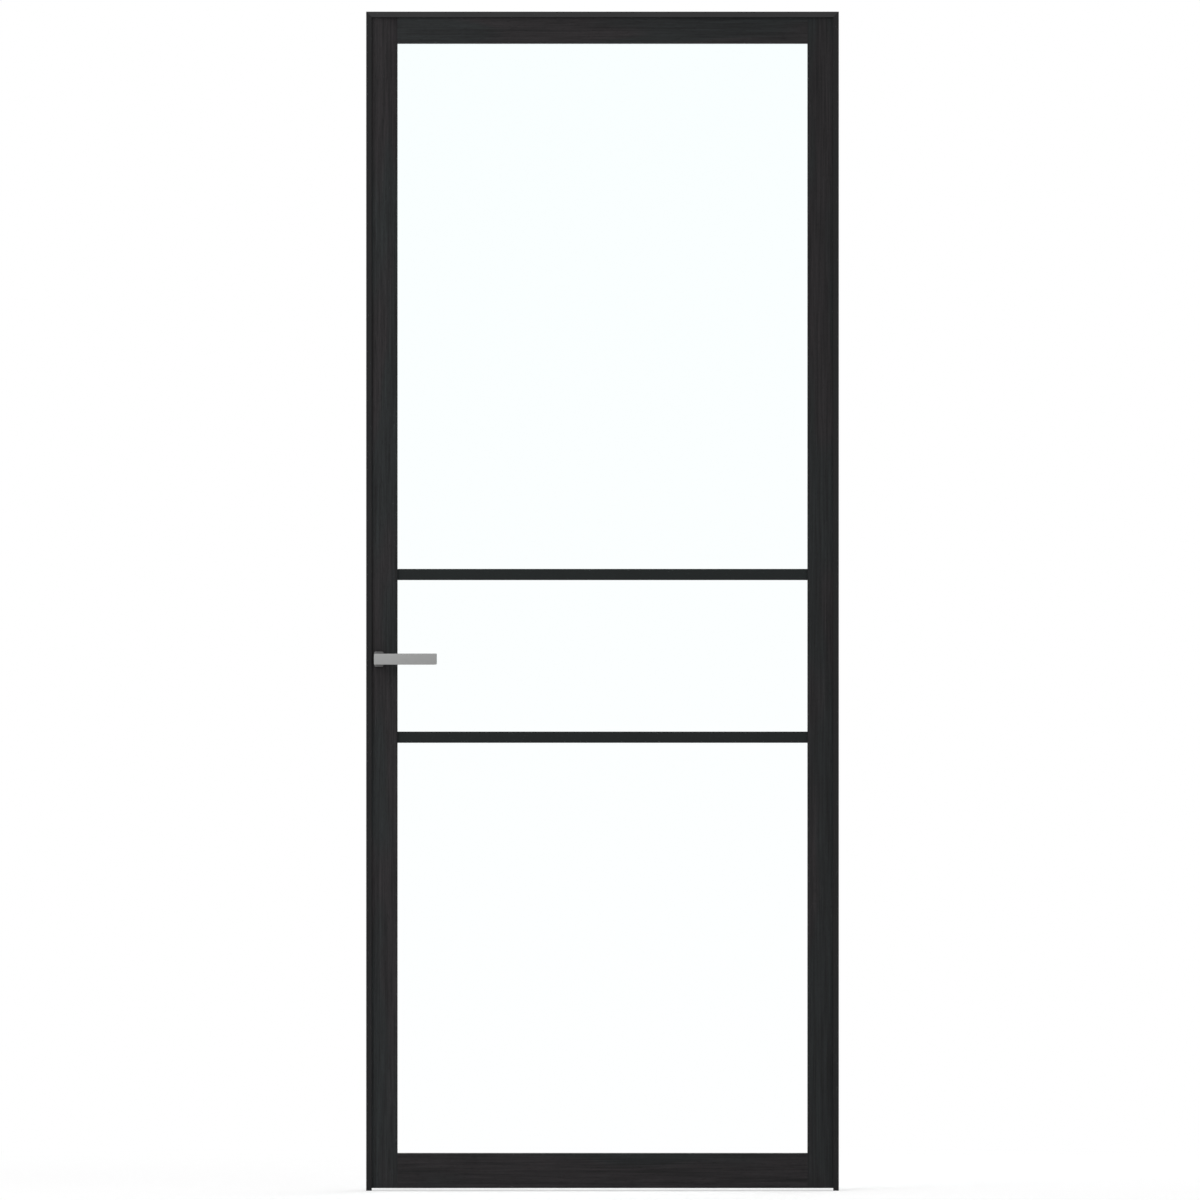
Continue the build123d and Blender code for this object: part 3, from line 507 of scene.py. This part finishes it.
def outline(radius, sides):
    """The corners of a regular outline."""
    turn = math.tau / sides
    return [Vector((radius * math.cos(i * turn), radius * math.sin(i * turn))) for i in range(sides)]


def ring(mesh, radius, depth):
    """A circle of corners at a depth below the head."""
    return [mesh.verts.new((x, y, -depth)) for x, y in outline(radius, SCREW_SIDES)]


def thread_ring(mesh, crest, root, depth, pitch):
    """A circle of corners that climbs from root to crest once round, for a screw thread."""
    corners = []
    for i in range(SCREW_SIDES):
        turn = i / SCREW_SIDES
        angle = turn * math.tau
        phase = (depth / pitch - turn) % 1.0
        radius = root + (crest - root) * (1 - abs(2 * phase - 1))
        corners.append(mesh.verts.new((radius * math.cos(angle), radius * math.sin(angle), -depth)))
    return corners


def join(mesh, upper, lower):
    """A wall of faces between two circles of corners."""
    count = len(upper)
    for i in range(count):
        after = (i + 1) % count
        mesh.faces.new((upper[i], upper[after], lower[after], lower[i]))


def cross_outline(reach, half_width):
    """The corners of a cross recess, a quarter at a time."""
    quarter = [(half_width, half_width), (reach, half_width), (reach, -half_width)]
    corners = []
    for i in range(4):
        turn = Matrix.Rotation(-i * math.tau / 4, 2)
        corners += [turn @ Vector(corner) for corner in quarter]
    return corners


def recess(mesh, rim, mouth_outline, depth, taper):
    """The flat of a head round its recess, with the recess's walls and floor."""
    mouth = [mesh.verts.new((x, y, 0.0)) for x, y in mouth_outline]
    floor = [mesh.verts.new((x * taper, y * taper, -depth)) for x, y in mouth_outline]
    join(mesh, mouth, floor)
    mesh.faces.new(floor)
    loops = []
    for loop in (rim, mouth):
        for i, corner in enumerate(loop):
            pair = (corner, loop[(i + 1) % len(loop)])
            loops.append(mesh.edges.get(pair) or mesh.edges.new(pair))
    bmesh.ops.triangle_fill(mesh, use_beauty=True, edges=loops)


def screw_body(place, pitch, tip):
    """One countersunk screw with a cross recess, its head up at the origin."""
    mesh = bmesh.new()
    arris = 0.12 * MM
    rim = ring(mesh, place.radius - arris, 0.0)
    cross = cross_outline(reach=place.radius * 0.62, half_width=place.radius * 0.13)
    recess(mesh, rim, cross, depth=place.radius * 0.42, taper=0.55)
    edge = ring(mesh, place.radius, arris)
    join(mesh, rim, edge)
    shank = place.radius / 2
    root = shank * 0.74
    depth = place.radius - shank
    last = ring(mesh, shank, depth)
    join(mesh, edge, last)
    step = pitch / RINGS_PER_TURN
    while depth + step < place.length - tip:
        depth += step
        lower = thread_ring(mesh, shank, root, depth, pitch)
        join(mesh, last, lower)
        last = lower
    end = shank * (0.15 if tip else 0.7)
    foot = ring(mesh, end, place.length)
    join(mesh, last, foot)
    mesh.faces.new(foot)
    return mesh


def wood_screw(place):
    """A screw with a coarse thread and a point."""
    return screw_body(place, pitch=1.8 * MM, tip=3.0 * MM)


def machine_screw(place):
    """A short screw with a fine thread and a blunt end."""
    return screw_body(place, pitch=0.8 * MM, tip=0.0)


def grub_screw(place):
    """A headless screw with a hexagon socket in its outer end."""
    mesh = bmesh.new()
    arris = 0.2 * MM
    rim = ring(mesh, place.radius - arris, 0.0)
    recess(mesh, rim, outline(place.radius * 0.55, 6), depth=place.radius, taper=1.0)
    edge = ring(mesh, place.radius, arris)
    join(mesh, rim, edge)
    foot = ring(mesh, place.radius, place.length)
    join(mesh, edge, foot)
    mesh.faces.new(foot)
    return mesh


def set_in(whole, single, place, spin):
    """Puts a body into the whole mesh, at its place and turned about its own axis."""
    bmesh.ops.recalc_face_normals(single, faces=single.faces)
    turn = place.direction.to_track_quat("-Z", "Y") @ Quaternion((0, 0, 1), spin)
    single.transform(Matrix.Translation(place.head) @ turn.to_matrix().to_4x4())
    data = as_data(single, "single")
    whole.from_mesh(data)
    bpy.data.meshes.remove(data)


def fasteners(node, material, body):
    """All screws of a node, each with its own turn."""
    whole = bmesh.new()
    for i, corners in enumerate(solids(node)):
        place = Turned(corners)
        set_in(whole, body(place), place, spin=i * SPIN_STEP)
    data = as_data(whole, node + "_detailed")
    data.set_sharp_from_angle(angle=SCREW_SHARP_ANGLE)
    stand_in(node, data, material)


# Settings

class DoorFinish(bpy.types.PropertyGroup):
    """Colours of the door's pieces."""

    oak_dark: FloatVectorProperty(
        name="Oak, dark", description="Stain in the dark grain",
        subtype="COLOR", default=(0.0075, 0.0075, 0.008), min=0.0, max=1.0,
    )
    oak_warm: FloatVectorProperty(
        name="Oak, warm", description="Stain on the pale grain where it is warm",
        subtype="COLOR", default=(0.025, 0.0222, 0.0238), min=0.0, max=1.0,
    )
    oak_cool: FloatVectorProperty(
        name="Oak, cool", description="Stain on the pale grain where it is cool",
        subtype="COLOR", default=(0.0198, 0.0228, 0.0236), min=0.0, max=1.0,
    )
    jamb_paint: FloatVectorProperty(
        name="Jamb paint", description="Powder coat of the jambs",
        subtype="COLOR", default=(0.0115, 0.0115, 0.012), min=0.0, max=1.0,
    )
    # The head's coat is painted paler than the jambs': painted light, for the light that falls on
    # the top of the frame
    head_paint_painted_light: FloatVectorProperty(
        name="Head paint", description="Powder coat of the head, paler than the jambs",
        subtype="COLOR", default=(0.019, 0.019, 0.0195), min=0.0, max=1.0,
    )
    hinge_paint: FloatVectorProperty(
        name="Hinge paint", description="Powder coat of the hinges",
        subtype="COLOR", default=(0.016, 0.016, 0.0165), min=0.0, max=1.0,
    )
    bar_paint: FloatVectorProperty(
        name="Bar paint", description="Paint of the glazing bars",
        subtype="COLOR", default=(0.0065, 0.0085, 0.0086), min=0.0, max=1.0,
    )
    rubber: FloatVectorProperty(
        name="Rubber", description="Seals and tapes",
        subtype="COLOR", default=(0.012, 0.012, 0.012), min=0.0, max=1.0,
    )
    # The glass is tinted deeper at its top than at its foot; the difference is a painted reflection
    # over the glass's own tint
    glass_top_tint_and_reflection: FloatVectorProperty(
        name="Glass, top", description="Tint of the glass towards its top",
        subtype="COLOR", default=(0.946, 0.999, 1.0), min=0.0, max=1.0,
    )
    glass_foot: FloatVectorProperty(
        name="Glass, foot", description="Tint of the glass towards its foot",
        subtype="COLOR", default=(0.995, 1.0, 1.0), min=0.0, max=1.0,
    )
    satin_steel: FloatVectorProperty(
        name="Satin steel", description="Levers, latch, forend and strike, with their screws",
        subtype="COLOR", default=(0.279, 0.282, 0.28), min=0.0, max=1.0,
    )
    # The rose covers are a darker copy of the satin steel: painted shade, for the shade the lever
    # casts over them
    rose_steel_painted_shade: FloatVectorProperty(
        name="Rose steel", description="Rose covers, darker than the levers",
        subtype="COLOR", default=(0.114, 0.113, 0.113), min=0.0, max=1.0,
    )
    zinc: FloatVectorProperty(
        name="Zinc", description="Plated pieces inside the lock and the roses",
        subtype="COLOR", default=(0.5, 0.5, 0.52), min=0.0, max=1.0,
    )
    black_screw: FloatVectorProperty(
        name="Blackened screw", description="Hinge screws, grub screws and bead pins",
        subtype="COLOR", default=(0.1, 0.1, 0.105), min=0.0, max=1.0,
    )
    bare_wood: FloatVectorProperty(
        name="Bare wood", description="Dowels",
        subtype="COLOR", default=(0.55, 0.38, 0.22), min=0.0, max=1.0,
    )
    plastic: FloatVectorProperty(
        name="Plastic", description="Setting blocks",
        subtype="COLOR", default=(0.05, 0.05, 0.05), min=0.0, max=1.0,
    )


class DoorEdges(bpy.types.PropertyGroup):
    """How far sharp edges are rounded."""

    timber: FloatProperty(
        name="Timber", description="Sanded edges of the stiles and rails",
        unit="LENGTH", default=0.6 * MM, min=0.0,
    )
    bead: FloatProperty(
        name="Beads and bars", description="Edges of the beads and the bars",
        unit="LENGTH", default=0.4 * MM, min=0.0,
    )
    metal: FloatProperty(
        name="Metal", description="Edges of the levers, the latch, the forend and the strike",
        unit="LENGTH", default=0.25 * MM, min=0.0,
    )


class DoorStage(bpy.types.PropertyGroup):
    """The studio and the camera."""

    photo_scale: FloatProperty(
        name="Scale", description="Real length of one pixel at the frame's front",
        unit="LENGTH", default=1.9675 * MM, min=0.1 * MM, precision=5,
    )
    centre_x: FloatProperty(
        name="Centre, across", description="Pixel column of the door's middle", default=602.5
    )
    top_y: FloatProperty(
        name="Top edge", description="Pixel row of the frame's top", default=11.6
    )
    camera_distance: FloatProperty(
        name="Camera distance", description="From the frame's front",
        unit="LENGTH", default=40.0, min=1.0,
    )
    ambient: FloatProperty(
        name="Ambient light", description="Light from the whole room", default=0.72, min=0.0
    )
    key_power: FloatProperty(
        name="Key lamp", description="Power of the lamp at the front",
        unit="POWER", default=170.0, min=0.0,
    )
    fill_power: FloatProperty(
        name="Fill lamp", description="Power of the lamp at the back",
        unit="POWER", default=120.0, min=0.0,
    )
    lamp_size: FloatProperty(
        name="Lamp size", description="Side of both lamps", unit="LENGTH", default=4.0, min=0.01
    )
    floor_colour: FloatVectorProperty(
        name="Floor", description="Colour of the floor",
        subtype="COLOR", default=(0.93, 0.93, 0.93), min=0.0, max=1.0,
    )


# Pieces

class DOOR_OT_frame(bpy.types.Operator):
    """Paint the steel frame and finish its seals"""

    bl_idname = "door.frame"
    bl_label = "Frame and Seals"

    def execute(self, context):
        finish = context.scene.door_finish
        coat = {"texture": 0.9 * MM, "roughness": 0.7}
        keep(JAMBS, powder_coat("jamb_paint", finish.jamb_paint, shine=0.12, **coat))
        # The head gets the paler coat, which is painted light from above
        keep(["head"], powder_coat("head_paint_painted_light", finish.head_paint_painted_light, shine=0.2, **coat))
        keep(SEALS, soft_rubber("seal_rubber", finish.rubber))
        return {"FINISHED"}


class DOOR_OT_strike(bpy.types.Operator):
    """Finish the strike plate and its screws"""

    bl_idname = "door.strike"
    bl_label = "Strike"

    def execute(self, context):
        colour = context.scene.door_finish.satin_steel
        steel = brushed_metal("strike_steel", colour, grain="Z", roughness=0.34, contrast=0.12)
        softened("strike_plate", steel, context.scene.door_edges.metal)
        fasteners("strike_screws", steel, machine_screw)
        return {"FINISHED"}


class DOOR_OT_hinges(bpy.types.Operator):
    """Paint the hinges and make their screws"""

    bl_idname = "door.hinges"
    bl_label = "Hinges"

    def execute(self, context):
        finish = context.scene.door_finish
        paint = powder_coat(
            "hinge_paint", finish.hinge_paint, texture=0.6 * MM, roughness=0.55, shine=0.25
        )
        for number in HINGES:
            keep([f"hinge_{number}_{part}" for part in ("frame_flap", "leaf_flap", "pin")], paint)
        steel = plated_steel("hinge_screw_steel", finish.black_screw, roughness=0.38)
        fasteners("hinge_screws_frame", steel, machine_screw)
        fasteners("hinge_screws_leaf", steel, wood_screw)
        return {"FINISHED"}


class DOOR_OT_timber(bpy.types.Operator):
    """Stain the stiles, rails and beads, and finish the dowels and pins"""

    bl_idname = "door.timber"
    bl_label = "Timber"

    def execute(self, context):
        finish, edges = context.scene.door_finish, context.scene.door_edges
        for number, (node, (grain, shade)) in enumerate(BOARDS.items(), 1):
            oak = stained_oak(node + "_oak", grain, shade, BOARD_OFFSET * number, finish)
            softened(node, oak, edges.bead if node.startswith("bead") else edges.timber)
        keep(["corner_dowels"], bare_wood("dowel_wood", finish.bare_wood))
        keep(["bead_pins"], plated_steel("pin_steel", finish.black_screw, roughness=0.4))
        return {"FINISHED"}


class DOOR_OT_glazing(bpy.types.Operator):
    """Finish the glass, its bars and what holds it"""

    bl_idname = "door.glazing"
    bl_label = "Glazing"

    def execute(self, context):
        finish = context.scene.door_finish
        low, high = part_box("glass_pane")
        glass = clear_glass("float_glass", finish.glass_top_tint_and_reflection, finish.glass_foot, low.z, high.z)
        keep(["glass_pane"], glass)
        keep(TAPES, soft_rubber("tape_rubber", finish.rubber))
        keep(["setting_blocks"], moulded_plastic("block_plastic", finish.plastic))
        paint = powder_coat(
            "bar_paint", finish.bar_paint, texture=0.5 * MM, roughness=0.6, shine=0.15
        )
        for bar in BARS:
            softened(bar, paint, context.scene.door_edges.bead)
        return {"FINISHED"}


class DOOR_OT_lock(bpy.types.Operator):
    """Finish the latch lock and make its screws"""

    bl_idname = "door.lock"
    bl_label = "Latch Lock"

    def execute(self, context):
        finish, edges = context.scene.door_finish, context.scene.door_edges
        satin = brushed_metal(
            "forend_steel", finish.satin_steel, grain="Z", roughness=0.34, contrast=0.12
        )
        softened("lock_forend", satin, edges.metal)
        fasteners("lock_screws", satin, wood_screw)
        latch = brushed_metal(
            "latch_steel", finish.satin_steel, grain="X", roughness=0.3, contrast=0.1
        )
        softened("latch_bolt", latch, edges.metal, shortest=2 * MM)
        zinc = plated_steel("lock_zinc", finish.zinc, roughness=0.36)
        keep(["lock_case", "lock_cover", "follower"], zinc)
        spring = plated_steel("spring_steel", finish.zinc, roughness=0.28)
        shortening("latch_spring", spring, "latch_slide")
        return {"FINISHED"}


class DOOR_OT_handles(bpy.types.Operator):
    """Finish the levers and roses, and make the grub screws"""

    bl_idname = "door.handles"
    bl_label = "Lever Handles"

    def execute(self, context):
        finish, edges = context.scene.door_finish, context.scene.door_edges
        brushing = {"roughness": 0.33, "contrast": 0.1}
        satin = brushed_metal("lever_steel", finish.satin_steel, grain="X", **brushing)
        for lever in ("lever_front", "lever_back"):
            softened(lever, satin, edges.metal)
        # The roses get the darker satin, which is painted shade from the lever
        rose = brushed_metal("rose_steel_painted_shade", finish.rose_steel_painted_shade, grain="Z", **brushing)
        keep(["rose_cover_front", "rose_cover_back"], rose)
        zinc = plated_steel("base_zinc", finish.zinc, roughness=0.36)
        keep(["rose_base_front", "rose_base_back", "spindle"], zinc)
        fasteners("rose_screws", zinc, machine_screw)
        grub = plated_steel("grub_steel", finish.black_screw, roughness=0.3)
        fasteners("grub_screws", grub, grub_screw)
        return {"FINISHED"}


# Studio

def seen_directly(r):
    """1 for what the camera sees, also in metal and through glass."""
    camera, glossy, through = (
        r.node("ShaderNodeLightPath", {}, {}, f"Is {ray} Ray")
        for ray in ("Camera", "Glossy", "Transmission")
    )
    return r.maths("MAXIMUM", camera, r.maths("MAXIMUM", glossy, through))


def room_light(world, ambient):
    """An even room, which is white where it is seen."""
    r = Recipe(world)
    strength = ambient + (1 - ambient) * seen_directly(r)
    r.done(r.node("ShaderNodeBackground", {}, {"Color": WHITE, "Strength": strength}))


def floor_finish(colour):
    """A pale floor that keeps its shadows near the door and runs out into white."""
    r = recipe("studio_floor")
    far = r.vector("LENGTH", r.place(), output="Value").rise(*WHITE_BETWEEN)
    matt = r.node("ShaderNodeBsdfDiffuse", {}, {"Color": opaque(colour)})
    white = r.node("ShaderNodeEmission", {}, {"Color": WHITE, "Strength": 1.0})
    share = seen_directly(r) * (WHITE_NEAR_DOOR + (1 - WHITE_NEAR_DOOR) * far)
    return r.done(r.node("ShaderNodeMixShader", {}, {0: share, 1: matt, 2: white}))


def studio_floor(colour):
    """A round floor under the door, which belongs to the stage."""
    mesh = bmesh.new()
    bmesh.ops.create_circle(mesh, cap_ends=True, radius=FLOOR_RADIUS, segments=FLOOR_SIDES)
    floor = bpy.data.objects.new("studio_floor", as_data(mesh, "studio_floor"))
    bpy.context.scene.collection.objects.link(floor)
    dress(floor, floor_finish(colour))


def lamp(name, place, size, power):
    """A large soft lamp that points at the door."""
    light = bpy.data.lights.new(name, "AREA")
    light.size = size
    light.energy = power
    holder = bpy.data.objects.new(name, light)
    holder.location = place
    holder.rotation_euler = (Vector(LAMP_AIM) - Vector(place)).to_track_quat("-Z", "Y").to_euler()
    bpy.context.scene.collection.objects.link(holder)


def photo_camera(stage):
    """A long lens straight in front of the door, framed as the photograph is."""
    low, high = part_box("jamb_latch_side")
    camera = bpy.data.cameras.new("photo_camera")
    camera.sensor_width = SENSOR_WIDTH
    camera.lens = SENSOR_WIDTH * stage.camera_distance / (IMAGE_SIZE * stage.photo_scale)
    camera.clip_start = stage.camera_distance / 2
    camera.clip_end = stage.camera_distance * 2
    middle = IMAGE_SIZE / 2
    holder = bpy.data.objects.new("photo_camera", camera)
    holder.location = (
        (middle - stage.centre_x) * stage.photo_scale,
        low.y - stage.camera_distance,
        high.z + (stage.top_y - middle) * stage.photo_scale,
    )
    holder.rotation_euler = (math.radians(90), 0, 0)
    bpy.context.scene.collection.objects.link(holder)
    bpy.context.scene.camera = holder


class DOOR_OT_stage(bpy.types.Operator):
    """Set up the floor, the light and the camera"""

    bl_idname = "door.stage"
    bl_label = "Studio"

    def execute(self, context):
        scene = context.scene
        stage = scene.door_stage
        scene.view_settings.view_transform = "Standard"
        if scene.world is None:
            scene.world = bpy.data.worlds.new("studio")
        room_light(scene.world, stage.ambient)
        studio_floor(stage.floor_colour)
        lamp("key_lamp", KEY_PLACE, stage.lamp_size, stage.key_power)
        lamp("fill_lamp", FILL_PLACE, stage.lamp_size, stage.fill_power)
        photo_camera(stage)
        return {"FINISHED"}


SETTINGS = {"door_finish": DoorFinish, "door_edges": DoorEdges, "door_stage": DoorStage}
OPERATORS = (
    DOOR_OT_frame,
    DOOR_OT_strike,
    DOOR_OT_hinges,
    DOOR_OT_timber,
    DOOR_OT_glazing,
    DOOR_OT_lock,
    DOOR_OT_handles,
    DOOR_OT_stage,
)


class DOOR_PT_panel(bpy.types.Panel):
    """Lists the door's pieces, its colours and its studio"""

    bl_idname = "DOOR_PT_panel"
    bl_label = "Glazed Interior Door"
    bl_space_type = "VIEW_3D"
    bl_region_type = "UI"
    bl_category = "Door"

    def draw(self, context):
        for operator in OPERATORS:
            self.layout.operator(operator.bl_idname)
        for name in SETTINGS:
            box = self.layout.box()
            group = getattr(context.scene, name)
            for field in group.__annotations__:
                box.prop(group, field)


def register():
    """Registers the settings, the operators and the panel."""
    for group in (*SETTINGS.values(), *OPERATORS, DOOR_PT_panel):
        bpy.utils.register_class(group)
    for name, group in SETTINGS.items():
        setattr(bpy.types.Scene, name, PointerProperty(type=group))


def unregister():
    """Takes away what register made, the other way round."""
    for name in SETTINGS:
        delattr(bpy.types.Scene, name)
    for group in (DOOR_PT_panel, *reversed(OPERATORS), *SETTINGS.values()):
        bpy.utils.unregister_class(group)


def main():
    """Finishes every piece and sets up the studio."""
    register()
    bpy.ops.door.frame()
    bpy.ops.door.strike()
    bpy.ops.door.hinges()
    bpy.ops.door.timber()
    bpy.ops.door.glazing()
    bpy.ops.door.lock()
    bpy.ops.door.handles()
    bpy.ops.door.stage()


if __name__ == "__main__":
    main()
